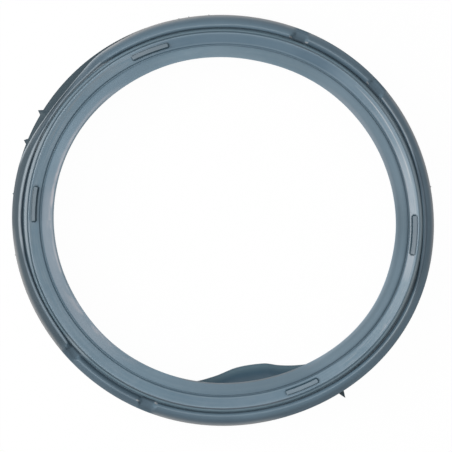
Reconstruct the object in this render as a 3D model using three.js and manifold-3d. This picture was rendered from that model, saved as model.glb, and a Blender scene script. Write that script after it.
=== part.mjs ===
// Washing machine door seal: one moulded rubber ring that lies on its tub end, user side up.
// Millimetres, +Z up. Angles are in degrees, counter-clockwise from +X, seen from the user side.
// The section is given as [radius, height] pairs of the round ring. The soft ring lies a little
// out of round, with one stretch of its front flap folded up and its tub end pushed in below.

import * as THREE from 'three';
import { mergeVertices } from 'three/addons/utils/BufferGeometryUtils.js';
import Module from 'manifold-3d';

const FULL_TURN = 360;

// Mean radii of the edges that run round the ring
const BAND_EDGE_R = 184.0;
const GROOVE_R = 172.6;
const LIP_EDGE_R = 147.1;

// Door glass lip: it rises from the valley to a thin free edge that meets the glass
const LIP_EDGE = [
  [LIP_EDGE_R + 0.2, 58.4],
  [LIP_EDGE_R, 59.6],
];
const LIP_MIDDLE = [152.6, 55.9];

// How far the lip's free edge stands further in at these angles
const LIP_SHIFT = [
  [0, -0.5],
  [18, 0],
  [40, 0.9],
  [75, 0.7],
  [90, 0],
  [105, -0.1],
  [125, 0.8],
  [150, 0.5],
  [190, 0.7],
  [210, 0.8],
  [228, 0.2],
  [250, 0.4],
  [300, 0.4],
  [318, -0.3],
  [330, -0.4],
  [345, 0],
  [360, -0.5],
];

// Valley at the foot of the sloping face, and how far it stands further in at these angles
const VALLEY = [
  [158.2, 52.6],
  [159.8, 52.6],
];
const VALLEY_SHIFT = [
  [0, -1.3],
  [20, -1.2],
  [45, 0],
  [303, 0],
  [320, -0.9],
  [340, -1.4],
  [360, -1.3],
];

// Inner side of the ridge: the head of the sloping face, a small step and the ridge's top
const RIDGE_INSIDE = [
  [168.9, 57.0],
  [169.7, 56.6],
  [170.4, 58.2],
];

// Outer side of the ridge, down to the floor of the groove for the front clamp
const RIDGE_OUTSIDE = [
  [172.4, 57.6],
  [GROOVE_R, 53.4],
];

// How far each side of the ridge stands further in at these angles, at the left and under the flap
const INSIDE_SHIFT = [
  [122, 0],
  [134, 0.9],
  [150, 0.8],
  [162, 0.9],
  [172, 1.0],
  [187, 0.8],
  [197, 0],
];
const OUTSIDE_SHIFT = [
  [124, 0],
  [134, 0.8],
  [150, 0.5],
  [160, 0],
];

// Front band, from its foot in the groove over the crest. The open form has a steep inner wall,
// the closed form a soft crest, the cut form is bevelled back for the clamp's spring, and the scoop
// is a short dip beside it.
const BAND = {
  open: [[174.2, 53.4], [175.0, 59.3], [176.2, 60.0], [178.4, 58.0], [181.6, 55.9]],
  closed: [[173.7, 53.6], [173.9, 57.8], [175.6, 59.6], [178.3, 58.5], [181.6, 55.9]],
  cut: [[173.7, 53.4], [174.6, 56.0], [176.4, 58.1], [178.0, 59.0], [181.6, 56.0]],
  scoop: [[173.9, 53.0], [176.2, 53.6], [178.6, 54.8], [180.8, 56.2], [182.4, 56.0]],
};

// Angle where the band takes another form, half the width of the change, and that form
const FIRST_FORM = 'closed';
const BAND_CHANGES = [
  [13, 5, 'open'],
  [38.3, 0.7, 'scoop'],
  [43.4, 0.6, 'cut'],
  [65.2, 0.6, 'scoop'],
  [69.5, 0.7, 'closed'],
  [127.5, 0.5, 'open'],
  [218.9, 0.7, 'scoop'],
  [223.4, 0.6, 'cut'],
  [245.1, 0.6, 'scoop'],
  [249.7, 0.7, 'closed'],
  [315, 6, 'open'],
  [346, 5, 'closed'],
];

// How far the band leans in over the groove at these angles, and how much of it each point takes
const BAND_LEAN = [
  [0, 1.2],
  [5, 1.2],
  [10, 0.9],
  [15, 1.2],
  [20, 0.9],
  [25, 0.5],
  [35, 0.5],
  [38, 0.4],
  [43, 0.6],
  [65, 0.6],
  [70, 0.2],
  [85, 0.2],
  [91, 0.5],
  [97, 0.4],
  [105, 0.2],
  [115, 0.5],
  [126, 0.5],
  [130, 1.3],
  [135, 2.0],
  [145, 2.1],
  [150, 2.0],
  [155, 1.6],
  [160, 1.4],
  [170, 0.9],
  [180, 0.4],
  [186, 0.9],
  [190, 0.8],
  [195, 1.3],
  [205, 1.9],
  [210, 2.1],
  [216, 1.7],
  [219, 0.8],
  [223, 0],
  [245, 0],
  [256, 0.3],
  [272, 0.4],
  [280, 0.4],
  [300, 0.2],
  [310, 0],
  [318, -0.4],
  [332, -0.5],
  [340, 0],
  [346, 0.6],
  [355, 1.1],
  [360, 1.2],
];
const LEAN_SHARES = [0.5, 1, 1, 0.6, 0.1];

// Outer edge of the band, and the slot behind it that takes the turned edge of the front panel
const BAND_EDGE = [
  [BAND_EDGE_R, 54.9],
  [183.4, 53.2],
  [175.4, 51.2],
  [175.2, 47.8],
];

// Rear flange of the slot
const FLANGE_TOP_Z = 45.9;
const FLANGE_EDGE_R = 185.2;
const FLANGE = [
  [184.1, FLANGE_TOP_Z],
  [FLANGE_EDGE_R, 44.9],
  [184.4, 44.0],
  [174.8, 42.6],
];

// Neck and bellows fold on the outside
const BELLOWS_OUTSIDE = [
  [172.8, 38.6],
  [177.6, 33.4],
  [179.6, 29.0],
  [177.0, 24.4],
  [171.2, 19.8],
];

// Tub collar: the channel of the rear clamp outside, and the groove that fits over the tub's rim
const COLLAR = [
  [171.8, 17.0],
  [176.8, 15.8],
  [178.4, 14.0],
  [175.8, 11.8],
  [175.4, 6.8],
  [179.0, 4.6],
  [178.4, 0],
  [172.8, 0],
  [172.4, 8.6],
  [169.0, 8.6],
  [168.6, 0],
];

// Inner edge of the tub end, with a thickened rim
const TUB_RIM = [
  [160.2, 0],
  [158.8, 1.2],
  [159.0, 3.2],
  [162.6, 4.4],
];

// Inside of the bellows, and the underside of the face and lip
const BELLOWS_INSIDE = [
  [166.2, 10.6],
  [168.0, 20.8],
  [173.6, 26.2],
  [176.2, 29.2],
  [173.8, 32.4],
  [169.4, 38.0],
  [170.2, 50.2],
  [168.0, 53.4],
  [159.0, 49.6],
  [152.4, 54.1],
];

// Out of round: how far each set of lobes stands out, and the angle of one of its peaks
const OVAL_OUTSIDE = { lobes: 2, rise: 2.6, peak: -12 };
const OVAL_INSIDE = { lobes: 2, rise: 3.6, peak: -7 };
const SQUARENESS = { lobes: 4, rise: 0.5, peak: -34 };
const FIVE_CORNERS = { lobes: 5, rise: 0.26, peak: -28 };
const OVAL_BLEND_WIDTH = 11;
const LIP_SHIFT_X = 1.0;

// Stretch of the front flap that is folded up: how far its edge is pulled in at these angles
const FLAP_PULL = [
  [108, 0],
  [122, 1.4],
  [128, 2.2],
  [135, 5.6],
  [142, 6.9],
  [150, 5.6],
  [157, 2.8],
  [165, 0],
];
const FLAP_HINGE_R = 174.4;
const FLAP_HINGE_Z = 48.6;
const FLAP_HINGE_DEPTH = 3;
const FLAP_CURL = 0.7;
const FLAP_LIFT = 0.7;
const FLAP_LIFT_CURL = 2;

// Tub end pushed inwards below: how far at these angles, full below one height, none above another
const TUB_PUSH = [
  [242, 0],
  [258.5, 5.6],
  [266, 12.4],
  [275, 20.6],
  [285.3, 20.5],
  [291, 14.8],
  [296, 9.9],
  [300, 6.4],
  [312, 0],
];
const PUSH_FULL_Z = 4;
const PUSH_NONE_Z = 48;

// Four raised pads on the sloping face: start and end angle, inner and outer radius
const PADS = [
  [107.6, 119.6, 162.4, 166.5],
  [169.8, 180.4, 162.3, 166.1],
  [289.8, 300.5, 162.4, 166.7],
  [349.6, 361.4, 163.0, 167.5],
];
const PAD_TOP_Z = 57.4;
const PAD_FOOT_Z = 53.6;
const PAD_BEVEL = 0.5;
const PAD_CORNER = 1.1;
const PAD_ARC_STEPS = 6;
const PAD_CORNER_STEPS = 3;

// Pull tabs on the flange's edge: the middle angle and how far each tip stands out
const FINS = [
  { angle: 149.3, reach: 3.8 },
  { angle: 158.1, reach: 3.1 },
  { angle: 304.5, reach: 6.4 },
];
const FIN_BASE = 4.8;
const FIN_ROOT = 1.2;
const FIN_THICKNESS = 1.8;

// Angle between two sections where the ring is plain
const PLAIN_STEP = 4;

const rubber = new THREE.MeshStandardMaterial({
  color: 0x6b7e8a,
  roughness: 0.5,
  metalness: 0,
});

function smooth(value) {
  return THREE.MathUtils.smoothstep(value, 0, 1);
}

function lobesAt(wave, angle) {
  const turn = THREE.MathUtils.degToRad(wave.lobes * (angle - wave.peak));
  return wave.rise * Math.cos(turn);
}

// A smooth curve through [angle, value] stations, level past both ends
function along(stations, angle) {
  const last = stations.length - 1;
  if (angle <= stations[0][0]) return stations[0][1];
  if (angle >= stations[last][0]) return stations[last][1];
  const next = stations.findIndex(([at]) => at > angle);
  const slope = (index) => {
    if (index === 0 || index === last) return 0;
    const [beforeAngle, beforeValue] = stations[index - 1];
    const [afterAngle, afterValue] = stations[index + 1];
    return (afterValue - beforeValue) / (afterAngle - beforeAngle);
  };
  const [startAngle, start] = stations[next - 1];
  const [endAngle, end] = stations[next];
  const span = endAngle - startAngle;
  const t = (angle - startAngle) / span;
  const eased = smooth(t);
  const leave = slope(next - 1) * span * t * (1 - t) * (1 - t);
  const arrive = slope(next) * span * t * t * (1 - t);
  return start + (end - start) * eased + leave - arrive;
}

// The band's points at an angle, between the form that it leaves and the one that it takes
function bandAt(angle) {
  let points = BAND[FIRST_FORM];
  for (const [at, halfWidth, form] of BAND_CHANGES) {
    const share = smooth((angle - at) / (2 * halfWidth) + 0.5);
    points = points.map(([radius, height], index) => [
      THREE.MathUtils.lerp(radius, BAND[form][index][0], share),
      THREE.MathUtils.lerp(height, BAND[form][index][1], share),
    ]);
  }
  const lean = along(BAND_LEAN, angle);
  return points.map(([radius, height], index) => [radius - lean * LEAN_SHARES[index], height]);
}

function movedIn(points, shift) {
  return points.map(([radius, height]) => [radius - shift, height]);
}

// Where a point of the round ring's section lies on the ring as it is
function place(sectionRadius, sectionHeight, angle) {
  let radius = sectionRadius;
  let height = sectionHeight;

  const outward = Math.max(0, (radius - FLAP_HINGE_R) / (BAND_EDGE_R - FLAP_HINGE_R));
  const above = smooth((height - FLAP_HINGE_Z) / FLAP_HINGE_DEPTH);
  const pull = along(FLAP_PULL, angle) * above;
  radius -= pull * outward ** FLAP_CURL;
  height += pull * outward ** FLAP_LIFT_CURL * FLAP_LIFT;

  const low = 1 - smooth((sectionHeight - PUSH_FULL_Z) / (PUSH_NONE_Z - PUSH_FULL_Z));
  radius -= along(TUB_PUSH, angle) * low;

  const inside = smooth((BAND_EDGE_R - sectionRadius) / OVAL_BLEND_WIDTH);
  const oval = THREE.MathUtils.lerp(lobesAt(OVAL_OUTSIDE, angle), lobesAt(OVAL_INSIDE, angle), inside);
  radius += oval + lobesAt(SQUARENESS, angle) + lobesAt(FIVE_CORNERS, angle);

  const shift = LIP_SHIFT_X * Math.max(0, (BAND_EDGE_R - sectionRadius) / (BAND_EDGE_R - LIP_EDGE_R));
  const turn = THREE.MathUtils.degToRad(angle);
  return new THREE.Vector3(radius * Math.cos(turn) + shift, radius * Math.sin(turn), height);
}

function sectionAt(angle) {
  const outline = [
    ...movedIn(LIP_EDGE, along(LIP_SHIFT, angle)),
    LIP_MIDDLE,
    ...movedIn(VALLEY, along(VALLEY_SHIFT, angle)),
    ...movedIn(RIDGE_INSIDE, along(INSIDE_SHIFT, angle)),
    ...movedIn(RIDGE_OUTSIDE, along(OUTSIDE_SHIFT, angle)),
    ...bandAt(angle),
    ...BAND_EDGE,
    ...FLANGE,
    ...BELLOWS_OUTSIDE,
    ...COLLAR,
    ...TUB_RIM,
    ...BELLOWS_INSIDE,
  ];
  return outline.map(([radius, height]) => place(radius, height, angle));
}

// Sections stand closer together at the sharp ends of the scoops and cuts
function sectionAngles() {
  const sharp = [];
  for (const [at, halfWidth] of BAND_CHANGES) {
    if (halfWidth < PLAIN_STEP / 2) sharp.push(at - halfWidth, at + halfWidth);
  }
  const plain = [];
  for (let angle = 0; angle < FULL_TURN; angle += PLAIN_STEP) {
    const crowded = sharp.some((at) => Math.abs(at - angle) < PLAIN_STEP / 3);
    if (!crowded) plain.push(angle);
  }
  return [...plain, ...sharp].sort((a, b) => a - b);
}

function ringGeometry() {
  const sections = sectionAngles().map(sectionAt);
  const count = sections[0].length;
  const positions = sections.flat().flatMap((point) => point.toArray());
  const indices = [];
  sections.forEach((section, i) => {
    const here = i * count;
    const there = ((i + 1) % sections.length) * count;
    for (let j = 0; j < count; j += 1) {
      const k = (j + 1) % count;
      indices.push(here + j, here + k, there + j);
      indices.push(here + k, there + k, there + j);
    }
  });
  const geometry = new THREE.BufferGeometry();
  geometry.setAttribute('position', new THREE.Float32BufferAttribute(positions, 3));
  geometry.setIndex(indices);
  return geometry;
}

// Plan outline of a pad: two arcs of the ring, joined by rounded corners
function padGeometry([from, to, innerR, outerR]) {
  const middleR = (innerR + outerR) / 2;
  const halfWidth = (outerR - innerR) / 2;
  const degreesPerMm = THREE.MathUtils.radToDeg(1 / middleR);
  const halfLength = (to - from) / 2 / degreesPerMm;
  const middle = (from + to) / 2;
  const outline = [];
  const add = (round, across) => {
    const point = place(middleR + across, PAD_TOP_Z, middle + round * degreesPerMm);
    outline.push(new THREE.Vector2(point.x, point.y));
  };
  for (const side of [1, -1]) {
    const straight = halfLength - PAD_CORNER;
    for (let i = 0; i < PAD_ARC_STEPS; i += 1) {
      add(side * THREE.MathUtils.lerp(-straight, straight, i / PAD_ARC_STEPS), side * halfWidth);
    }
    for (const end of [0, 1]) {
      for (let i = 0; i <= PAD_CORNER_STEPS; i += 1) {
        const turn = ((end + i / PAD_CORNER_STEPS) * Math.PI) / 2;
        const across = (end === 0 ? 1 : -1) * (halfWidth - PAD_CORNER) + PAD_CORNER * Math.cos(turn);
        add(side * (straight + PAD_CORNER * Math.sin(turn)), side * across);
      }
    }
  }
  const geometry = new THREE.ExtrudeGeometry(new THREE.Shape(outline.reverse()), {
    depth: PAD_TOP_Z - PAD_FOOT_Z - PAD_BEVEL,
    bevelThickness: PAD_BEVEL,
    bevelSize: PAD_BEVEL,
    bevelOffset: -PAD_BEVEL,
    bevelSegments: 1,
  });
  geometry.translate(0, 0, PAD_FOOT_Z);
  return geometry;
}

// A pointed tab in the plane of the flange, with its root inside the flange's edge
function finGeometry({ angle, reach }) {
  const halfBase = THREE.MathUtils.radToDeg(FIN_BASE / 2 / FLANGE_EDGE_R);
  const corner = (radius, at) => {
    const point = place(radius, FLANGE_TOP_Z, at);
    return new THREE.Vector2(point.x, point.y);
  };
  const shape = new THREE.Shape([
    corner(FLANGE_EDGE_R - FIN_ROOT, angle - halfBase),
    corner(FLANGE_EDGE_R + reach, angle),
    corner(FLANGE_EDGE_R - FIN_ROOT, angle + halfBase),
  ]);
  const geometry = new THREE.ExtrudeGeometry(shape, { depth: FIN_THICKNESS, bevelEnabled: false });
  geometry.translate(0, 0, FLANGE_TOP_Z - FIN_THICKNESS);
  return geometry;
}

const wasm = await Module();
wasm.setup();

function toSolid(geometry) {
  const bare = geometry.clone();
  bare.deleteAttribute('normal');
  bare.deleteAttribute('uv');
  const merged = mergeVertices(bare);
  return new wasm.Manifold(new wasm.Mesh({
    numProp: 3,
    vertProperties: new Float32Array(merged.attributes.position.array),
    triVerts: new Uint32Array(merged.index.array),
  }));
}

function toGeometry(solid) {
  const mesh = solid.getMesh();
  const geometry = new THREE.BufferGeometry();
  geometry.setAttribute('position', new THREE.BufferAttribute(mesh.vertProperties, 3));
  geometry.setIndex(new THREE.BufferAttribute(mesh.triVerts, 1));
  return geometry;
}

let seal = toSolid(ringGeometry());
for (const pad of PADS) seal = seal.add(toSolid(padGeometry(pad)));
for (const fin of FINS) seal = seal.add(toSolid(finGeometry(fin)));

const geometry = toGeometry(seal);
geometry.computeBoundingBox();
const middle = geometry.boundingBox.getCenter(new THREE.Vector3());
geometry.translate(-middle.x, -middle.y, 0);
geometry.computeVertexNormals();

const mesh = new THREE.Mesh(geometry, rubber);
mesh.name = 'door_seal';

const group = new THREE.Group();
group.add(mesh);

export default group;
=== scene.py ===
import math

import bpy
import numpy as np
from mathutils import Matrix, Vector


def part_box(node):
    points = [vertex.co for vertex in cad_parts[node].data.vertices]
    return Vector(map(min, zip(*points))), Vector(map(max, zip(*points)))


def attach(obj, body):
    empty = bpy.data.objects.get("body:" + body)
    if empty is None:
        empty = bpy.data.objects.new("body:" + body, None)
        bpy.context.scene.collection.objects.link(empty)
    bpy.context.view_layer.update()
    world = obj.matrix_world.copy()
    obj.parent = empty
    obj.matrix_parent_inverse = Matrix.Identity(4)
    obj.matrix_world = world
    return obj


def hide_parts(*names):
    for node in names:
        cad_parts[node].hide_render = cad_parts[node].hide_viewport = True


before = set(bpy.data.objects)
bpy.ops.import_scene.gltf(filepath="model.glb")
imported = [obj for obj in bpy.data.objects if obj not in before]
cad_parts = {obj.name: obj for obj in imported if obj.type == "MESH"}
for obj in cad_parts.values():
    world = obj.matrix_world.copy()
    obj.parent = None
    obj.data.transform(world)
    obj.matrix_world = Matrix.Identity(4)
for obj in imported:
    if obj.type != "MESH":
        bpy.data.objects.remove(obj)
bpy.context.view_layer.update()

# Moulded section
# The seal is one ring of silicone-like rubber, pressed in a ring mould, so its section is the same
# all round but for the front band. Each corner is (radius, height, round, points) in millimetres
# of the round ring: how far from the corner its round starts, and how many points make the round.
MM = 0.001
BAND_EDGE_R = 184.0
LIP_EDGE_R = 147.1

LIP = [
    (LIP_EDGE_R + 0.2, 58.4, 0.3, 2),
    (LIP_EDGE_R, 59.6, 0.4, 3),
    (152.6, 55.9, 2.4, 4),
]
VALLEY = [
    (158.0, 52.9, 0.5, 3),
    (158.6, 51.3, 0.3, 2),
    (159.4, 51.3, 0.3, 2),
    (160.0, 53.0, 0.4, 3),
]
FACE_FOOT = (160.0, 53.0)
FACE_HEAD = (168.9, 57.0)
RIDGE = [
    (168.9, 57.0, 0.35, 3),
    (169.7, 56.5, 0.2, 2),
    (170.4, 58.2, 0.5, 3),
    (172.4, 57.6, 0.6, 3),
    (172.6, 53.4, 0.5, 2),
]
# The band stands open beside the groove or closes over it. It is cut back where the clamp's spring
# lies, and scooped out beside that.
BAND = {
    "open": [(174.2, 53.4, 0.5, 2), (175.0, 59.3, 0.4, 3), (176.2, 60.0, 0.6, 4), (178.4, 58.0, 1.0, 4),
             (181.6, 55.9, 1.2, 4)],
    "closed": [(173.7, 53.6, 0.3, 2), (173.9, 57.4, 0.8, 3), (175.6, 59.7, 1.2, 4), (178.3, 58.6, 1.3, 4),
               (181.6, 55.9, 1.2, 4)],
    "cut": [(173.7, 53.4, 0.3, 2), (174.6, 56.0, 0.7, 3), (176.4, 58.2, 0.9, 4), (178.0, 59.0, 0.9, 4),
            (181.6, 56.0, 0.9, 4)],
    "scoop": [(173.9, 53.0, 0.3, 2), (176.2, 53.6, 0.8, 3), (178.6, 54.8, 0.9, 4), (180.8, 56.2, 0.8, 4),
              (182.4, 56.0, 0.6, 4)],
}
# Where the band changes: the angle, the change's half width in degrees, and the form it takes on
BAND_CHANGES = [
    (13, 5, "open"),
    (38.3, 0.9, "scoop"), (43.4, 0.7, "cut"), (65.2, 0.7, "scoop"), (69.5, 0.9, "closed"),
    (127.5, 0.5, "open"),
    (218.9, 0.9, "scoop"), (223.4, 0.7, "cut"), (245.1, 0.7, "scoop"), (249.7, 0.9, "closed"),
    (315, 6, "open"), (346, 5, "closed"),
]
# How far the soft ring leans in, as (angle, millimetres), and the share that each band corner takes
BAND_LEAN = [
    (0, 1.2), (5, 1.2), (10, 0.9), (15, 1.2), (20, 0.9), (25, 0.5), (35, 0.5), (38, 0.4), (43, 0.6),
    (65, 0.6), (70, 0.2), (85, 0.2), (91, 0.5), (97, 0.4), (105, 0.2), (115, 0.5), (126, 0.5),
    (130, 1.3), (135, 2.0), (145, 2.1), (150, 2.0), (155, 1.6), (160, 1.4), (170, 0.9), (180, 0.4),
    (186, 0.9), (190, 0.8), (195, 1.3), (205, 1.9), (210, 2.1), (216, 1.7), (219, 0.8), (223, 0),
    (245, 0), (256, 0.3), (272, 0.4), (280, 0.4), (300, -0.2), (310, -0.4), (318, -0.5), (332, -0.5),
    (340, 0), (346, 0.6), (355, 1.1), (360, 1.2),
]
LEAN_SHARES = [0.5, 1.0, 1.0, 0.6, 0.1]
LIP_IN = [
    (0, -0.5), (18, 0), (40, 0.9), (75, 0.7), (90, 0), (105, -0.1), (125, 0.8), (150, 0.5), (190, 0.7),
    (210, 0.8), (228, 0.2), (250, 0.4), (300, 0.4), (318, -0.3), (330, -0.4), (345, 0), (360, -0.5),
]
VALLEY_IN = [(0, -1.3), (20, -1.2), (45, 0), (303, 0), (320, -0.9), (340, -1.4), (360, -1.3)]
RIDGE_IN = [(122, 0), (134, 0.9), (150, 0.8), (162, 0.9), (172, 1.0), (187, 0.8), (197, 0)]
GROOVE_IN = [(124, 0), (134, 0.8), (150, 0.5), (160, 0)]
# How far the groove's floor is pressed up under the folded flap
GROOVE_LIFT = [(122, 0), (131, 2.9), (152, 2.9), (162, 0)]
REAR = [
    # The band's edge and underside, and the slot for the panel's edge
    (BAND_EDGE_R, 54.9, 0.6, 3), (183.4, 53.2, 0.5, 3), (175.4, 51.2, 0.6, 2), (175.2, 47.8, 0.6, 2),
    # The rear flange
    (184.1, 45.9, 0.3, 2), (185.2, 44.9, 0.4, 2), (184.4, 44.0, 0.3, 2), (174.8, 42.6, 1.0, 2),
    # The neck and the bellows fold, from outside
    (172.8, 38.6, 2.0, 4), (177.6, 33.4, 1.6, 3), (179.6, 29.0, 2.2, 4), (177.0, 24.4, 2.0, 3),
    # The tub collar, with the channel for its clamp
    (171.2, 19.8, 1.2, 3), (171.8, 17.0, 0.8, 2), (176.8, 15.8, 0.8, 2), (178.4, 14.0, 0.9, 3),
    (175.8, 11.8, 0.7, 2), (175.4, 6.8, 0.8, 2), (179.0, 4.6, 0.9, 3), (178.4, 0.0, 0.5, 2),
    # The groove for the tub's rim, and the tub end
    (172.8, 0.0, 0.4, 2), (172.4, 8.6, 0.5, 2), (169.0, 8.6, 0.5, 2), (168.6, 0.0, 0.4, 2),
    (160.2, 0.0, 0.5, 2), (158.8, 1.2, 0.6, 3), (159.0, 3.2, 0.8, 3), (162.6, 4.4, 1.6, 3),
    # The bellows and the neck from inside, up to the lip's underside
    (166.2, 10.6, 2.4, 3), (168.0, 20.8, 2.2, 3), (173.6, 26.2, 1.4, 3), (176.2, 29.2, 1.6, 4),
    (173.8, 32.4, 1.4, 3), (169.4, 38.0, 2.4, 3), (170.2, 50.2, 1.6, 2), (168.0, 53.4, 1.4, 3),
    (159.0, 49.6, 1.2, 3), (152.4, 54.1, 2.4, 2),
]


def smooth(value):
    value = np.clip(value, 0.0, 1.0)
    return value * value * (3 - 2 * value)


def along(stations, angle):
    """A smooth curve through (angle, value) stations, level past both ends."""
    at, value = np.array(stations, float).T
    slope = np.zeros(len(at))
    slope[1:-1] = (value[2:] - value[:-2]) / (at[2:] - at[:-2])
    index = np.clip(np.searchsorted(at, angle, side="right") - 1, 0, len(at) - 2)
    span = at[index + 1] - at[index]
    t = np.clip((angle - at[index]) / span, 0, 1)
    leave = slope[index] * span * t * (1 - t) ** 2
    arrive = slope[index + 1] * span * t ** 2 * (1 - t)
    return value[index] + (value[index + 1] - value[index]) * smooth(t) + leave - arrive


def changed(angle, at, half_width):
    """Goes from 0 to 1 over one change of the band."""
    return smooth((angle - at) / (2 * half_width) + 0.5)


def band_at(angle):
    """The band's corners at each angle, between the form that it leaves and the one that it takes."""
    corners = np.repeat(np.array(BAND["closed"])[None], len(angle), axis=0)
    for at, half_width, form in BAND_CHANGES:
        share = changed(angle, at, half_width)[:, None, None]
        corners = corners + (np.array(BAND[form])[None] - corners) * share
    corners[:, :, 0] -= along(BAND_LEAN, angle)[:, None] * LEAN_SHARES
    corners[:, 0, 1] += along(GROOVE_LIFT, angle)
    return corners


def lip_at(angle):
    """The lip's and the valley's corners at each angle. Both lie further in at some places."""
    corners = np.repeat(np.array(LIP + VALLEY, float)[None], len(angle), axis=0)
    corners[:, :2, 0] -= along(LIP_IN, angle)[:, None]
    corners[:, 3:, 0] -= along(VALLEY_IN, angle)[:, None]
    return corners


def ridge_at(angle):
    """The ridge's corners at each angle. It is broader at the left, and pressed in under the flap."""
    corners = np.repeat(np.array(RIDGE)[None], len(angle), axis=0)
    corners[:, :3, 0] -= along(RIDGE_IN, angle)[:, None]
    corners[:, 3:, 0] -= along(GROOVE_IN, angle)[:, None]
    corners[:, 4, 1] += along(GROOVE_LIFT, angle)
    return corners


def scooped_at(angle):
    """1 where the band is scooped out, and 0 elsewhere."""
    share = np.zeros(len(angle))
    for at, half_width, form in BAND_CHANGES:
        share = share + ((form == "scoop") - share) * changed(angle, at, half_width)
    return share


# Raised pads
# Four low pads stand on the sloping face, where the door glass presses the lip back. They are
# moulded in, with flat tops, drafted walls and rounded ends, so they are a rise of the face here.
# Each pad is its two end angles and its two radii.
PADS = [
    (107.6, 119.6, 162.4, 166.5),
    (169.8, 180.4, 162.3, 166.1),
    (289.8, 300.5, 162.4, 166.7),
    (349.6, 361.4, 163.0, 167.5),
]
PAD_TOP_Z = 57.4
PAD_CORNER = 1.1
PAD_WALL = 0.7
WALL_STEPS = np.array([-1.6, -1.0, -0.5, -0.25, 0.0, 0.25, 0.5, 0.9]) * PAD_WALL
TOP_STEPS = [-0.15, 0.15]
PAD_REACH = 99.0
PLAIN_HALF_WIDTH = 2.0
# The painted shade line round a pad: how wide it is in walls, how far out it lies, and how strong it
# is on the pad's inner and outer sides
PAD_EDGE_WIDTH = 1.25
PAD_EDGE_AWAY = 0.15
PAD_EDGE_IN = 0.85
PAD_EDGE_OUT = 0.58
PAD_SIDE_SHIFT = 0.2


def face_at(angle):
    """Points across the sloping face at each angle. They close in on the walls of the nearest pad."""
    depth = np.full(len(angle), -PAD_REACH)
    middle = np.full(len(angle), (FACE_FOOT[0] + FACE_HEAD[0]) / 2)
    half_width = np.full(len(angle), PLAIN_HALF_WIDTH)
    for start, end, inner, outer in PADS:
        pad_middle = (inner + outer) / 2
        away = np.abs((angle - (start + end) / 2 + 180) % 360 - 180)
        inside_end = np.radians((end - start) / 2 - away) * pad_middle
        nearest = inside_end > depth
        depth = np.where(nearest, inside_end, depth)
        middle = np.where(nearest, pad_middle, middle)
        half_width = np.where(nearest, (outer - inner) / 2, half_width)
    into_corner = np.clip(PAD_CORNER - depth, 0, PAD_CORNER)
    half_width = (half_width - (PAD_CORNER - np.sqrt(PAD_CORNER ** 2 - into_corner ** 2)))[:, None]
    middle = middle[:, None]
    radius = np.concatenate(
        [middle - half_width + WALL_STEPS, middle + half_width * TOP_STEPS,
         middle + half_width - WALL_STEPS[::-1]],
        axis=1)
    foot = FACE_FOOT[0] - along(VALLEY_IN, angle)[:, None]
    face = FACE_FOOT[1] + (radius - foot) * (FACE_HEAD[1] - FACE_FOOT[1]) / (FACE_HEAD[0] - foot)
    inside = np.minimum(half_width - np.abs(radius - middle), depth[:, None])
    height = face + (PAD_TOP_Z - face) * smooth(inside / PAD_WALL + 0.5)
    plain = np.zeros_like(radius)
    outer_side = smooth((radius - middle) / half_width - PAD_SIDE_SHIFT)
    strength = PAD_EDGE_IN + (PAD_EDGE_OUT - PAD_EDGE_IN) * outer_side
    edge = smooth(PAD_EDGE_WIDTH - np.abs(inside + PAD_EDGE_AWAY) / PAD_WALL) * strength
    return np.stack([radius, height, plain, plain + 1], axis=2), edge


# Pull tabs and mould marks
# Three pointed tabs stand out from the rear flange's edge, where the ring is pulled from its mould,
# and the band's edge carries tiny spurs that the mould's vents leave. All are of the ring's rubber.
# Each is its angle and how far it stands out.
TABS = [(149.3, 3.8), (158.1, 3.1), (304.5, 6.4)]
TAB_HALF_BASE = 0.8
TAB_ROOT_R = 182.1
TAB_RISE = 2.8
TAB_TIP_Z = 44.9
TAB_HALF_DEPTH = 1.6
SPURS = [(9.2, 1.2), (94.0, 0.9), (99.6, 1.1), (102.4, 0.8), (172.8, 1.1), (189.5, 0.9)]
SPUR_HALF_BASE = 0.25
SPUR_ROOT_R = 183.2
SPUR_RISE = 0.8
SPUR_TIP_Z = 55.0
SPUR_HALF_DEPTH = 1.3


def spikes_at(spikes, half_base, angle):
    """How far the edge stands out at each angle, as straight-sided points."""
    out = np.zeros(len(angle))
    for at, reach in spikes:
        out = np.maximum(out, reach * (1 - np.abs(angle - at) / half_base))
    return out[:, None]


def edge_share(radius, height, root_r, rise, tip_z, half_depth):
    """The share of that which each point of the section takes: all at the edge, and none at the root."""
    return np.clip((radius - root_r) / rise, 0, 1) * (np.abs(height - tip_z) < half_depth)


# The ring
# As it lies on a bench the soft ring is a little out of round. One stretch of its front flap is
# folded up at upper left, and at the bottom the tub end has been pushed in past the lip.
# A wave is (lobes, rise, angle of a peak), and pulls and pushes are (angle, millimetres).
OVAL_OUTSIDE = (2, 2.6, -12)
OVAL_INSIDE = (2, 3.6, -7)
OUT_OF_ROUND = [(4, 0.5, -34), (5, 0.26, -28)]
OVAL_BLEND_WIDTH = 11
LIP_SHIFT_X = 1.0
FLAP_PULL = [(108, 0), (122, 1.4), (128, 2.2), (135, 5.6), (142, 6.9), (150, 5.6), (157, 2.8), (165, 0)]
FLAP_HINGE_R = 174.4
FLAP_HINGE_Z = 48.6
FLAP_HINGE_DEPTH = 3
FLAP_CURL = 0.7
FLAP_LIFT = 0.7
FLAP_LIFT_CURL = 2
TUB_PUSH = [
    (242, 0), (258.5, 5.6), (266, 12.4), (275, 20.6), (285.3, 20.5), (291, 14.8), (296, 9.9), (300, 6.4),
    (312, 0),
]
PUSH_FULL_Z = 4
PUSH_NONE_Z = 48
LARGEST_ROUND = 0.45
PLAIN_STEP = 1.0
SHARP_CHANGE = 2
CHANGE_MARGIN = 1.1
PAD_END_OUTSIDE = 0.25
PAD_END_INSIDE = 0.65
PAD_END_STEP = 0.12


def lobes_at(wave, angle):
    lobes, rise, peak = wave
    return rise * np.cos(np.radians(lobes * (angle - peak)))


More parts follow.
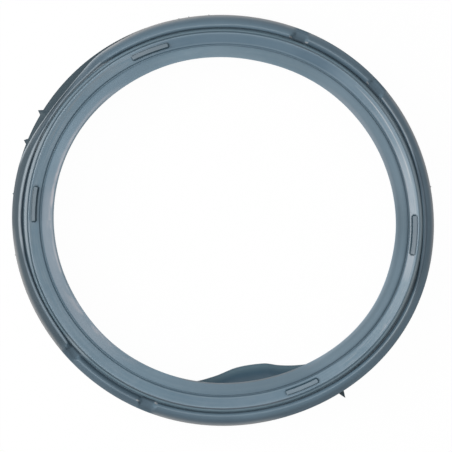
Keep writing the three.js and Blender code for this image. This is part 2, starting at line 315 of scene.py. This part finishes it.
def place(radius, height, angle):
    """Where points of the round ring's section lie on the ring as it is."""
    outward = np.clip((radius - FLAP_HINGE_R) / (BAND_EDGE_R - FLAP_HINGE_R), 0, None)
    above = smooth((height - FLAP_HINGE_Z) / FLAP_HINGE_DEPTH)
    pull = along(FLAP_PULL, angle) * above
    low = 1 - smooth((height - PUSH_FULL_Z) / (PUSH_NONE_Z - PUSH_FULL_Z))
    push = along(TUB_PUSH, angle) * low
    inside = smooth((BAND_EDGE_R - radius) / OVAL_BLEND_WIDTH)
    oval = lobes_at(OVAL_OUTSIDE, angle) * (1 - inside) + lobes_at(OVAL_INSIDE, angle) * inside
    waves = sum(lobes_at(wave, angle) for wave in OUT_OF_ROUND)
    reach = radius - pull * outward ** FLAP_CURL - push + oval + waves
    shift = LIP_SHIFT_X * np.clip((BAND_EDGE_R - radius) / (BAND_EDGE_R - LIP_EDGE_R), 0, None)
    turn = np.radians(angle)
    lift = pull * outward ** FLAP_LIFT_CURL * FLAP_LIFT
    return np.stack([reach * np.cos(turn) + shift, reach * np.sin(turn), height + lift], axis=2)


def rounded(corners, counts):
    """Turns each corner of the closed sections into a short curve of its own number of points."""
    tip = corners[:, :, :2]
    before = np.roll(tip, 1, axis=1) - tip
    after = np.roll(tip, -1, axis=1) - tip
    points = []
    for j, count in enumerate(counts):
        back_length = np.linalg.norm(before[:, j], axis=1, keepdims=True)
        on_length = np.linalg.norm(after[:, j], axis=1, keepdims=True)
        back, on = before[:, j] / back_length, after[:, j] / on_length
        start = np.minimum(corners[:, j, 2, None], np.minimum(back_length, on_length) * LARGEST_ROUND)
        for step in range(count):
            t = step / (count - 1) if count > 1 else 0.5
            points.append(tip[:, j] + back * start * (1 - t) ** 2 + on * start * t ** 2)
    return np.stack(points, axis=1)


def ring_angles():
    """Angles of the sections: even, and close together where the ring changes sharply."""
    fine = []
    for at, half_width, form in BAND_CHANGES:
        if half_width < SHARP_CHANGE:
            margin = half_width * CHANGE_MARGIN
            fine.append((at - margin, at + margin, half_width / 3))
    for start, end, inner, outer in PADS:
        fine.append((start - PAD_END_OUTSIDE, start + PAD_END_INSIDE, PAD_END_STEP))
        fine.append((end - PAD_END_INSIDE, end + PAD_END_OUTSIDE, PAD_END_STEP))
    for at, reach in TABS:
        fine.append((at - TAB_HALF_BASE, at + TAB_HALF_BASE, TAB_HALF_BASE / 6))
    for at, reach in SPURS:
        fine.append((at - SPUR_HALF_BASE, at + SPUR_HALF_BASE, SPUR_HALF_BASE / 2))
    sets = [np.arange(low, high + step / 2, step) for low, high, step in fine]
    angles = np.arange(0, 360, PLAIN_STEP)
    for low, high, step in fine:
        angles = angles[((angles - low + step / 2) % 360) > (high - low + step)]
    return np.unique(np.round(np.concatenate([angles, *sets]) % 360, 4))


angles = ring_angles()
face, pad_edge = face_at(angles)
front = lip_at(angles)
rear = np.repeat(np.array(REAR, float)[None], len(angles), axis=0)
corners = np.concatenate([front, face, ridge_at(angles), band_at(angles), rear], axis=1)
counts = corners[0, :, 3].round().astype(int)
face_start = counts[:front.shape[1]].sum()
section = rounded(corners, counts)
radius, height = section[:, :, 0], section[:, :, 1]

tab_edge = edge_share(radius, height, TAB_ROOT_R, TAB_RISE, TAB_TIP_Z, TAB_HALF_DEPTH)
spur_edge = edge_share(radius, height, SPUR_ROOT_R, SPUR_RISE, SPUR_TIP_Z, SPUR_HALF_DEPTH)
tab_out = spikes_at(TABS, TAB_HALF_BASE, angles) * tab_edge
spur_out = spikes_at(SPURS, SPUR_HALF_BASE, angles) * spur_edge
spots = place(radius + tab_out + spur_out, height, angles[:, None])

# The ring's middle goes to the middle of the solid that it replaces
ring_middle = (spots.reshape(-1, 3).min(axis=0) + spots.reshape(-1, 3).max(axis=0)) / 2
cad_low, cad_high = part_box("door_seal")
ring_x = (cad_low[0] + cad_high[0]) / 2 / MM - ring_middle[0]
ring_y = (cad_low[1] + cad_high[1]) / 2 / MM - ring_middle[1]
spots[:, :, 0] += ring_x
spots[:, :, 1] += ring_y

rows, columns = radius.shape
i, j = np.meshgrid(np.arange(rows), np.arange(columns), indexing="ij")
here, next_row = i * columns, (i + 1) % rows * columns
next_column = (j + 1) % columns
faces = np.stack([here + j, here + next_column, next_row + next_column, next_row + j], axis=2)

ring_mesh = bpy.data.meshes.new("seal_ring")
ring_mesh.from_pydata((spots.reshape(-1, 3) * MM).tolist(), [], faces.reshape(-1, 4).tolist())
scooped_share = np.repeat(scooped_at(angles)[:, None], columns, axis=1)
pad_edges = np.zeros_like(radius)
pad_edges[:, face_start:face_start + pad_edge.shape[1]] = pad_edge
for name, values in (("section_radius", radius), ("section_height", height), ("scooped", scooped_share),
                     ("pad_outline", pad_edges)):
    ring_mesh.attributes.new(name, "FLOAT", "POINT").data.foreach_set("value", values.ravel())
ring_mesh.validate()
ring_mesh.shade_smooth()
seal_ring = bpy.data.objects.new("seal_ring", ring_mesh)
bpy.context.collection.objects.link(seal_ring)
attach(seal_ring, "root")
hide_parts("door_seal")


# Rubber
# Blue-grey moulded rubber with a satin skin. The mould leaves fine lines round the ring, and a pale
# bloom comes out on the lip. Shade is painted into the creases and hollows, and light on the edges.
class Value:
    """A number that varies over the surface. Arithmetic on it adds Math nodes."""

    def __init__(self, finish, socket):
        self.finish = finish
        self.socket = socket

    def math(self, operation, first, second):
        return self.finish.node("Math", {"operation": operation}, {0: first, 1: second})

    def __add__(self, other):
        return self.math("ADD", self, other)

    def __sub__(self, other):
        return self.math("SUBTRACT", self, other)

    def __rsub__(self, other):
        return self.math("SUBTRACT", other, self)

    def __mul__(self, other):
        return self.math("MULTIPLY", self, other)

    __radd__ = __add__
    __rmul__ = __mul__


class Finish:
    """One material. node() adds any node: its type, its settings, and its sockets' values or links."""

    def __init__(self, name):
        self.material = bpy.data.materials.new(name)
        self.material.use_nodes = True
        self.tree = self.material.node_tree
        self.tree.nodes.clear()

    def node(self, kind, settings=None, sockets=None, output=0):
        node = self.tree.nodes.new("ShaderNode" + kind)
        for name, value in (settings or {}).items():
            setattr(node, name, value)
        for name, value in (sockets or {}).items():
            if isinstance(value, Value):
                self.tree.links.new(value.socket, node.inputs[name])
            else:
                node.inputs[name].default_value = value
        return Value(self, node.outputs[output]) if node.outputs else None

    def ease(self, value, low, high, top=1.0):
        """Goes smoothly from 0 to the top as the value goes from low to high."""
        return self.node(
            "MapRange", {"interpolation_type": "SMOOTHSTEP"}, {0: value, 1: low, 2: high, 4: top})

    def most(self, first, second):
        return self.node("Math", {"operation": "MAXIMUM"}, {0: first, 1: second})

    def mix(self, factor, below, above):
        """A colour between two colours."""
        return self.node("Mix", {"data_type": "RGBA"}, {0: factor, 6: below, 7: above}, output=2)


rubber = Finish("seal_rubber")
BAND_BLUE = (0.104, 0.158, 0.201, 1)
BAND_DEEP = (0.085, 0.133, 0.172, 1)
BAND_PAINTED_LIGHT = (0.132, 0.203, 0.258, 1)
BAND_PAINTED_SHADE = (0.052, 0.083, 0.110, 1)
LEFT_PAINTED_SHADE = (0.038, 0.062, 0.080, 1)
FACE_BLUE = (0.144, 0.220, 0.277, 1)
FACE_PALE = (0.180, 0.252, 0.308, 1)
FACE_PAINTED_SHADE = (0.092, 0.150, 0.200, 1)
FACE_PAINTED_HIGHLIGHT = (0.296, 0.348, 0.395, 1)
PAD_TOP_PAINTED_SHADE = (0.086, 0.127, 0.157, 1)
LIP_BLUE = (0.170, 0.248, 0.306, 1)
LIP_PALE = (0.204, 0.280, 0.336, 1)
LIP_PAINTED_SHADE = (0.128, 0.188, 0.236, 1)
LIP_PAINTED_LIGHT = (0.246, 0.342, 0.414, 1)
LIP_PAINTED_HIGHLIGHT = (0.350, 0.450, 0.530, 1)
RIDGE_PAINTED_SHADE = (0.088, 0.142, 0.176, 1)
FLANGE_PAINTED_SHADE = (0.028, 0.052, 0.068, 1)
TUB_END_PAINTED_SHADE = (0.026, 0.077, 0.120, 1)
TUB_END_PAINTED_LIGHT = (0.090, 0.154, 0.192, 1)
CREASE_PAINTED_SHADE = (0.060, 0.104, 0.138, 1)
STEP_PAINTED_SHADE = (0.088, 0.096, 0.110, 1)
GROOVE_PAINTED_SHADE = (0.024, 0.042, 0.058, 1)
PAD_OUTLINE_PAINTED_SHADE = (0.022, 0.054, 0.076, 1)
PAINTED_PALE_HIGHLIGHT = (0.400, 0.415, 0.430, 1)
FACE_PALE_LINE = (0.560, 0.575, 0.590, 1)
STREAK_GREY = (0.290, 0.320, 0.345, 1)
PINK_BLOOM = (0.420, 0.400, 0.420, 1)
BROWN_TINT = (0.156, 0.166, 0.168, 1)
EDGE_PAINTED_HIGHLIGHT = (0.290, 0.340, 0.376, 1)
EDGE_PAINTED_SHADE = (0.074, 0.118, 0.150, 1)
EDGE_RUST = (0.210, 0.190, 0.180, 1)
RIM_PAINTED_LIGHT = (0.345, 0.345, 0.345, 1)

spot = rubber.node("NewGeometry", output="Position")
ring_r, ring_z, scooped, pad_outline = (
    rubber.node("Attribute", {"attribute_name": name}, output="Fac")
    for name in ("section_radius", "section_height", "scooped", "pad_outline"))
east = rubber.node("SeparateXYZ", {}, {0: spot}, output="X")
north = rubber.node("SeparateXYZ", {}, {0: spot}, output="Y")
turn = rubber.node("Math", {"operation": "ARCTAN2"}, {0: north, 1: east})
user_side = rubber.ease(ring_z, 50.0, 52.0)

clouds = rubber.node("TexNoise", {}, {"Vector": spot, "Scale": 22.0, "Detail": 4.0, "Roughness": 0.6})
mottle = rubber.node("TexNoise", {}, {"Vector": spot, "Scale": 160.0, "Detail": 5.0, "Roughness": 0.65})
grain = rubber.node("TexNoise", {}, {"Vector": spot, "Scale": 1400.0, "Detail": 3.0, "Roughness": 0.6})


def round_noise(across, along_ring, detail):
    """Noise drawn out along the ring: how fine it is over a millimetre across, and over a radian."""
    drawn_out = rubber.node(
        "CombineXYZ", {}, {0: ring_r * across, 1: ring_z * across, 2: turn * along_ring})
    return rubber.node(
        "TexNoise", {}, {"Vector": drawn_out, "Scale": 1.0, "Detail": detail, "Roughness": 0.6})


lines = round_noise(0.5, 2.4, 4.0)
hairs = round_noise(2.0, 9.0, 3.0)
blotches = round_noise(0.16, 5.5, 3.0)


def near_angles(*stretches, everywhere=0.0):
    """The strength of each stretch within a half width of its middle, in degrees, then it fades out."""
    total = everywhere
    for middle, half_width, fade, strength in stretches:
        away = rubber.node("Math", {"operation": "COSINE"}, {0: turn - math.radians(middle)})
        gone, full = math.cos(math.radians(half_width + fade)), math.cos(math.radians(half_width))
        total = rubber.ease(away, gone, full, strength) + total
    return total


def near_radii(low, high, fade):
    """1 between two section radii, on the user side of the ring."""
    rise = rubber.ease(ring_r, low - fade, low + fade)
    fall = rubber.ease(ring_r, high - fade, high + fade)
    return rise * (1 - fall) * user_side


def outer_high(radii, heights):
    """Rises from 0 to 1 outwards over the radii and upwards over the heights."""
    return rubber.ease(ring_r, *radii) * rubber.ease(ring_z, *heights)


def inner_high(radii, heights):
    """Rises from 0 to 1 inwards over the radii and upwards over the heights."""
    return (1 - rubber.ease(ring_r, *radii)) * rubber.ease(ring_z, *heights)


def laid(below, tone, radii, *stretches, everywhere=0.0, mask=None):
    """The colour below with a tone laid on it, where near_radii and near_angles put it."""
    share = near_radii(*radii) * near_angles(*stretches, everywhere=everywhere)
    if mask is not None:
        share = share * mask
    return rubber.mix(share, below, tone)


# Body colour of the band, face, lip and hidden parts, with painted shade on the flange and painted shade
# and light on the tub end
patches = rubber.ease(clouds * 0.35 + mottle * 0.2 + lines * 0.45, 0.38, 0.62)
band_colour = rubber.mix(patches, BAND_DEEP, BAND_BLUE)
face_colour = rubber.mix(patches, FACE_BLUE, FACE_PALE)
lip_colour = rubber.mix(patches, LIP_BLUE, LIP_PALE)
colour = rubber.mix(1 - rubber.ease(ring_r, 171.5, 174.0), band_colour, face_colour)
colour = rubber.mix(1 - rubber.ease(ring_r, 157.5, 160.5), colour, lip_colour)
# Painted shade and light on the tub end: lighter at its rim, darker up inside towards the lip
tub_end_colour = rubber.mix(1 - rubber.ease(ring_r, 161.0, 166.5), TUB_END_PAINTED_SHADE, TUB_END_PAINTED_LIGHT)
tub_end_inside = (1 - rubber.ease(ring_z, 6.0, 22.0)) * (1 - rubber.ease(ring_r, 168.0, 171.0))
low_colour = rubber.mix(tub_end_inside, band_colour, tub_end_colour)
# Painted shade on the rear flange, below the band
low_colour = rubber.mix(rubber.ease(ring_z, 39.0, 43.0), low_colour, FLANGE_PAINTED_SHADE)
behind_band = 1 - rubber.ease(ring_z, 46.5, 50.5)
colour = rubber.mix(behind_band, colour, low_colour)

# Painted light and shade on the band, ridge, face and lip, and a pale pink bloom on the lip
# Painted light: a broad highlight on the band's shoulder where the band closes over the groove
shoulder = (1 - rubber.ease(ring_r, 176.0, 181.0)) * rubber.ease(ring_r, 173.5, 174.6) * user_side
closed_band = near_angles((98, 26, 4, 0.6), (284, 30, 8, 0.6), (54, 9, 2, 0.3), (234, 9, 2, 0.3))
colour = rubber.mix(shoulder * closed_band, colour, BAND_PAINTED_LIGHT)
# Painted shade on the band at the left, bottom, right crest and under the flap; painted light at lower
# right
colour = laid(colour, LEFT_PAINTED_SHADE, (175.5, 184.0, 1.2), (180, 36, 8, 1.0))
colour = laid(colour, BAND_PAINTED_SHADE, (175.5, 183.0, 1.2), (256, 14, 8, 0.3))
colour = laid(colour, BAND_PAINTED_SHADE, (179.0, 184.0, 1.2), (231, 9, 5, 0.5))
colour = laid(colour, BAND_PAINTED_LIGHT, (174.5, 182.0, 1.2), (316, 18, 8, 0.35))
colour = laid(colour, BAND_PAINTED_SHADE, (179.5, 184.0, 1.6), (278, 24, 14, 0.5))
colour = laid(colour, BAND_PAINTED_SHADE, (173.6, 176.6, 0.7), (358, 14, 7, 1.0))
colour = laid(colour, BAND_PAINTED_SHADE, (176.8, 181.5, 0.8), (143, 12, 6, 0.6))
# Painted shade on the cut slopes, darker towards the groove
bevel = 1 - rubber.ease(ring_r, 174.2, 177.6)
colour = laid(
    colour, BAND_PAINTED_SHADE, (172.8, 176.6, 0.3), (54.3, 10, 1.5, 0.55), (234.3, 10, 1.5, 0.55), mask=bevel)
# Painted shade on the ridge all round, more at the top, bottom, right, upper right and lower left
colour = laid(
    colour, RIDGE_PAINTED_SHADE, (169.3, 172.8, 0.4), (93, 18, 12, 0.3), (257, 40, 12, 0.3),
    (350, 16, 14, 0.25), (56, 12, 10, 0.25), (205, 8, 6, 0.25), everywhere=0.6)
# Painted shade on the face at the top, upper right and bottom
colour = laid(
    colour, FACE_PAINTED_SHADE, (160.4, 168.6, 1.0), (84, 22, 14, 0.75), (50, 10, 10, 0.35), (276, 16, 16, 0.3))
# Painted highlight on the face at the right
colour = laid(colour, FACE_PAINTED_HIGHLIGHT, (161.6, 167.2, 0.7), (5, 10, 12, 0.45), (346.5, 2, 4, 0.6))
WHOLE_LIP = (140.0, 157.5, 0.8)
# Painted light on the lip at upper right and lower right
colour = laid(colour, LIP_PAINTED_LIGHT, WHOLE_LIP, (32, 16, 16, 0.55), (322, 22, 20, 0.55))
# Painted shade on the lip from upper left round to the bottom
colour = laid(
    colour, LIP_PAINTED_SHADE, WHOLE_LIP, (162, 38, 24, 0.7), (182, 14, 10, 0.3), (224, 14, 12, 0.5),
    (274, 20, 14, 0.4))
lip_edge = inner_high((147.8, 152.5), (55.5, 57.5))
# Painted highlight along the lip's edge at the right and lower right
colour = rubber.mix(lip_edge * near_angles((0, 30, 20, 0.4), (322, 14, 12, 0.4)), colour, LIP_PAINTED_HIGHLIGHT)
colour = rubber.mix(lip_edge * near_angles((148, 14, 10, 0.2), (30, 14, 14, 0.2)), colour, PINK_BLOOM)
colour = laid(colour, PINK_BLOOM, WHOLE_LIP, (200, 22, 16, 0.16))
# Painted shade on the lip's edge at lower left
colour = rubber.mix(lip_edge * near_angles((220, 16, 12, 0.45)), colour, LIP_PAINTED_SHADE)

# Painted shade in the valley, the step, the groove, the scoops, on the pads' tops and round the pads,
# and painted light beside the valley and on the scoops' walls
# Painted light along the face's foot beside the valley, and a painted highlight there at upper right
colour = laid(colour, EDGE_PAINTED_HIGHLIGHT, (160.2, 161.2, 0.5), everywhere=0.2)
colour = laid(colour, PAINTED_PALE_HIGHLIGHT, (161.3, 162.1, 0.4), (14, 16, 10, 0.35))
# Painted shade in the valley between the face and the lip
colour = laid(colour, CREASE_PAINTED_SHADE, (157.2, 158.4, 0.5), (178, 50, 14, 0.6))
valley_shift = near_angles((354, 28, 22, 0.7))
valley_in = near_radii(158.2, 159.8, 0.7) * near_angles((276, 26, 16, 0.3), everywhere=0.68)
valley_out = near_radii(159.4, 161.1, 0.7) * valley_shift
colour = rubber.mix(valley_in * (1 - valley_shift) + valley_out, colour, CREASE_PAINTED_SHADE)
# Painted shade in the step between the face and the ridge, greyer at upper right and at the bottom
step = near_radii(169.2, 170.1, 0.4) * near_angles((284, 36, 12, 0.35), (90, 22, 12, 0.35), everywhere=0.55)
step = near_radii(169.0, 170.6, 0.4) * near_angles((304, 12, 8, 0.5)) + step
step_shade = rubber.mix(near_angles((48, 16, 10, 0.7), (262, 22, 12, 0.7)), CREASE_PAINTED_SHADE, STEP_PAINTED_SHADE)
colour = rubber.mix(step, colour, step_shade)
# Painted shade in the groove, strongest at lower right and right
groove = near_radii(172.6, 174.3, 0.5) * (1 - rubber.ease(ring_z, 55.0, 59.0))
groove_shade = near_angles((332, 16, 14, 0.6), (10, 14, 12, 0.3), everywhere=0.1)
colour = rubber.mix(groove * groove_shade, colour, GROOVE_PAINTED_SHADE)

# Painted shade in the scoops, darkest at the groove
scoop_foot = near_radii(172.6, 176.4, 0.3) * (1 - rubber.ease(ring_r, 173.4, 176.4))
scoop_foot = scoop_foot * (1 - near_angles((41, 3, 2, 0.3)))
scoop_middle = near_angles((67.4, 3, 2, 0.15), (41, 3, 2, 0.26), (221, 3, 2, 0.08))
scoop_rim = 0.3 - near_angles((41, 3, 2, 0.12))
scoop_slope = (1 - rubber.ease(ring_r, 173.0, 180.5)) * near_angles((67.4, 3, 2, 0.55))
scoop_floor = (
    near_radii(176.0, 180.2, 0.6) * scoop_middle + near_radii(180.4, 183.0, 0.5) * scoop_rim
    + near_radii(172.6, 181.0, 0.3) * scoop_slope)
colour = rubber.mix(scooped * rubber.most(scoop_foot, scoop_floor), colour, GROOVE_PAINTED_SHADE)
# Painted light on the scoops' end walls, which lie in shade
scoop_wall = scooped * (1 - scooped) * near_radii(175.2, 178.0, 0.6)
colour = rubber.mix(scoop_wall * 3.2, colour, BAND_PAINTED_LIGHT)

# Painted shade on the pads' tops, strongest on the left pad
pad_top = near_radii(162.0, 167.8, 0.3) * rubber.ease(ring_z, 56.7, 57.2)
pad_top_shade = near_angles((175, 7, 3, 0.95), (113.5, 7, 3, 0.8), (355, 8, 3, 0.6), (295, 7, 3, 0.35))
colour = rubber.mix(pad_top * pad_top_shade, colour, PAD_TOP_PAINTED_SHADE)
# Painted shade round the pads, strongest on their inner sides
right_outside = near_radii(166.8, 168.8, 0.4) * near_angles((355.5, 9, 2, 1.28))
pad_outline_strength = near_angles((175, 8, 3, 0.9), (355.5, 9, 2, 0.5), everywhere=1.0)
colour = rubber.mix(pad_outline * (pad_outline_strength - right_outside), colour, PAD_OUTLINE_PAINTED_SHADE)

# Pale patches on the lip, lines and tints on the face, painted shade on the lip's edge, and painted
# highlights on the edges
broken = rubber.ease(blotches, 0.46, 0.62)
lip_bloom = near_radii(140.0, 151.0, 4.0) * near_angles((197, 28, 18, 0.45))
lip_bloom = near_radii(140.0, 150.0, 4.0) * near_angles((316, 14, 12, 0.3)) + lip_bloom
colour = rubber.mix(lip_bloom * broken, colour, PINK_BLOOM)
colour = laid(colour, PINK_BLOOM, (148.2, 150.0, 0.7), (158, 22, 6, 1.0), mask=broken * 0.3 + 0.12)
free_edge = inner_high((147.4, 148.4), (55.5, 57.5))
# Painted shade along the lip's free edge at the left
colour = rubber.mix(free_edge * near_angles((170, 26, 18, 0.9)), colour, EDGE_PAINTED_SHADE)
colour = rubber.mix(free_edge * near_angles((276, 18, 6, 0.45)), colour, EDGE_RUST)

scratches = rubber.ease(lines * 0.6 + hairs * 0.4, 0.42, 0.62)
colour = laid(colour, BROWN_TINT, (163.0, 167.0, 2.0), (140, 11, 8, 0.6), mask=scratches)
colour = laid(colour, BROWN_TINT, (169.8, 172.6, 0.6), (6, 24, 20, 0.6), (322, 16, 12, 0.3), mask=lines)
# Painted highlight on the ridge at the left and lower left
ridge_highlight_breakup = rubber.ease(lines, 0.25, 0.55)
colour = laid(colour, PAINTED_PALE_HIGHLIGHT, (169.6, 172.2, 0.4), (172, 12, 12, 0.25), (221, 3, 3, 0.2), mask=ridge_highlight_breakup)
streaks = rubber.ease(lines * 0.4 + hairs * 0.6, 0.4, 0.66)
colour = laid(colour, STREAK_GREY, (161.0, 169.0, 1.0), (160, 40, 20, 0.3), mask=streaks)
# Painted glints on the face at the right and lower right
face_lines = rubber.ease(hairs, 0.56, 0.68)
colour = laid(colour, PAINTED_PALE_HIGHLIGHT, (161.5, 168.0, 1.0), (332, 18, 8, 0.6), (8, 5, 3, 0.6), mask=face_lines)
# A thin pale line along the face at upper right
pale_line_breakup = rubber.ease(hairs, 0.4, 0.6) * 0.4 + 0.3
colour = laid(colour, FACE_PALE_LINE, (165.6, 166.4, 0.4), (28, 10, 9, 1.0), mask=pale_line_breakup)

# Painted highlights on the band's crests, the cut crests, the flap's crest and rim, and in the groove under
# the flap
left_crest = outer_high((172.4, 173.4), (58.2, 59.2)) * near_angles((172, 12, 6, 0.6))
colour = rubber.mix(left_crest, colour, EDGE_PAINTED_HIGHLIGHT)
crest = outer_high((172.4, 173.4), (59.0, 59.6))
crest = crest * near_angles((30, 8, 4, 0.5), (170, 16, 5, 0.6), (205, 12, 6, 0.25), (326, 8, 8, 0.4))
cut_crest = near_radii(177.0, 178.6, 0.7) * near_angles((54.3, 10, 1, 0.05), (234.3, 10, 1, 0.05))
colour = rubber.mix(crest + cut_crest, colour, EDGE_PAINTED_HIGHLIGHT)
flap_crest = outer_high((171.8, 172.8), (58.4, 59.4)) * near_angles((139, 10.5, 1.5, 0.5))
flap_rim = outer_high((182.0, 183.4), (52.8, 54.2)) * near_angles((142, 20, 4, 0.9))
colour = rubber.mix(flap_crest + flap_rim, colour, EDGE_PAINTED_HIGHLIGHT)
colour = rubber.mix(groove * near_angles((143, 14, 6, 1.0), (205, 7, 5, 0.12)), colour, EDGE_PAINTED_HIGHLIGHT)
# Painted highlights at the ends of the cut crests
CREST_END_HIGHLIGHTS = [(43.5, 175.5), (64.8, 175.1), (69.7, 174.7), (244.7, 177.6), (249.9, 174.6)]
for degrees, at_radius in CREST_END_HIGHLIGHTS:
    colour = laid(colour, PAINTED_PALE_HIGHLIGHT, (at_radius - 0.5, at_radius + 0.5, 0.5), (degrees, 0.2, 0.4, 0.8))
# Painted light on the band's outer rim, where it faces the white bench
rim_slope = outer_high((178.5, 184.5), (52.0, 54.0))
rim_places = near_angles(
    (95, 26, 10, 0.72), (202, 12, 10, 0.72), (267, 12, 10, 0.72), (14, 18, 14, 0.72), (110, 10, 6, 0.2),
    everywhere=0.1)
colour = rubber.mix(rim_slope * rim_slope * (1 - scooped) * rim_places, colour, RIM_PAINTED_LIGHT)

# The skin: fine lines and grain stand up from it, the face is polished, and dusty places are matt
BUMP_DEPTH = 0.15 * MM
SATIN = 0.37
skin = (grain - 0.5) * 0.25 + (mottle - 0.5) * 0.4 + (lines - 0.5) * 1.2 + (hairs - 0.5) * 0.6
bumps = rubber.node("Bump", {}, {"Strength": 0.4, "Distance": BUMP_DEPTH, "Height": skin})
uneven = rubber.ease(mottle, 0.2, 0.8) * 0.1 + (lines - 0.5) * 0.35 + (hairs - 0.5) * 0.12
polish = near_radii(160.5, 168.9, 0.5) * 0.06
matt = scooped * near_radii(172.8, 184.0, 0.4) * 0.45 + (1 - rubber.ease(ring_z, 8.0, 30.0)) * 0.3
matt = near_radii(175.2, 184.0, 1.0) * near_angles((174, 38, 6, 0.15)) + matt
matt = near_radii(147.0, 157.5, 0.8) * near_angles((196, 32, 14, 0.12)) + matt
matt = behind_band * near_angles((142, 20, 6, 0.2)) + matt
matt = near_radii(173.4, 181.0, 0.8) * near_angles((0, 12, 8, 0.14)) + matt
matt = pad_top * near_angles((175, 7, 3, 0.14), (113.5, 7, 3, 0.14)) + matt
shader = rubber.node("BsdfPrincipled", {}, {
    "Base Color": colour,
    "Roughness": uneven + SATIN + matt - polish,
    "Normal": bumps,
    "Specular IOR Level": 0.5,
})
rubber.node("OutputMaterial", {}, {"Surface": shader})
ring_mesh.materials.append(rubber.material)

# Bench
# The ring lies on a plain white bench, wide enough to fill every view. It keeps the ring's shadow,
# and to the eye it is nearly as white as paper.
BENCH_SIZE = 8.0
BENCH_WHITE = (0.90, 0.90, 0.90, 1)
BENCH_ROUGHNESS = 0.9
SHOWN_WHITE = 0.98

bench_mesh = bpy.data.meshes.new("bench")
half_bench = BENCH_SIZE / 2
bench_mesh.from_pydata(
    [(-half_bench, -half_bench, 0), (half_bench, -half_bench, 0), (half_bench, half_bench, 0),
     (-half_bench, half_bench, 0)], [], [(0, 1, 2, 3)])
bench = bpy.data.objects.new("bench", bench_mesh)
bpy.context.collection.objects.link(bench)

bench_paint = Finish("bench_paint")
camera_ray = bench_paint.node("LightPath", output="Is Camera Ray")
glossy_ray = bench_paint.node("LightPath", output="Is Glossy Ray")
clear_ray = bench_paint.node("LightPath", output="Is Transmission Ray")
seen = bench_paint.most(bench_paint.most(camera_ray, glossy_ray), clear_ray)
paint = bench_paint.node("BsdfPrincipled", {}, {"Base Color": BENCH_WHITE, "Roughness": BENCH_ROUGHNESS})
glow = bench_paint.node("Emission", {}, {"Color": (1, 1, 1, 1), "Strength": 1.0})
shown = bench_paint.node("MixShader", {}, {0: seen * SHOWN_WHITE, 1: paint, 2: glow})
bench_paint.node("OutputMaterial", {}, {"Surface": shown})
bench_mesh.materials.append(bench_paint.material)

# Lamps
# Soft studio light: a broad lamp nearly overhead, two smaller ones at the left that give the rubber
# its satin highlights, and an even white surround.
LAMPS = [
    ("overhead_lamp", (-0.20, 0.05, 2.40), (1.6, 1.6), 28.5),
    ("left_lamp", (-1.38, -0.25, 0.92), (0.6, 0.6), 5.0),
    ("face_lamp", (-0.85, 0.15, 0.98), (0.9, 0.3), 6.0),
]
SURROUND_WHITE = (1, 1, 1, 1)
SURROUND_STRENGTH = 0.28

for name, lamp_at, size, watts in LAMPS:
    light = bpy.data.lights.new(name, "AREA")
    light.shape = "RECTANGLE"
    light.size, light.size_y = size
    light.energy = watts
    lamp = bpy.data.objects.new(name, light)
    lamp.location = lamp_at
    lamp.rotation_euler = (-Vector(lamp_at)).to_track_quat("-Z", "Y").to_euler()
    bpy.context.collection.objects.link(lamp)

world = bpy.data.worlds.new("surround")
world.use_nodes = True
world.node_tree.nodes["Background"].inputs["Color"].default_value = SURROUND_WHITE
world.node_tree.nodes["Background"].inputs["Strength"].default_value = SURROUND_STRENGTH
bpy.context.scene.world = world

# Camera
# It looks straight down on the ring from about a metre and a half. One pixel of the picture spans
# 0.88 mm at the band, and the ring's middle lies a little left of and above the picture's middle.
PICTURE_WIDTH = 452
RING_PIXEL = (223.18, 220.18)
MM_PER_PIXEL = 0.8791
BAND_HEIGHT = 58.0
CAMERA_RISE = 1500.0
SENSOR = 36.0
NEAREST_SEEN = 0.05
FARTHEST_SEEN = 50.0

camera_data = bpy.data.cameras.new("camera")
camera_data.sensor_width = SENSOR
camera_data.lens = SENSOR * CAMERA_RISE / (PICTURE_WIDTH * MM_PER_PIXEL)
camera_data.clip_start = NEAREST_SEEN
camera_data.clip_end = FARTHEST_SEEN
camera = bpy.data.objects.new("camera", camera_data)
camera.location = (
    (ring_x + (PICTURE_WIDTH / 2 - RING_PIXEL[0]) * MM_PER_PIXEL) * MM,
    (ring_y - (PICTURE_WIDTH / 2 - RING_PIXEL[1]) * MM_PER_PIXEL) * MM,
    (BAND_HEIGHT + CAMERA_RISE) * MM,
)
bpy.context.collection.objects.link(camera)
bpy.context.scene.camera = camera
bpy.context.scene.view_settings.view_transform = "Standard"
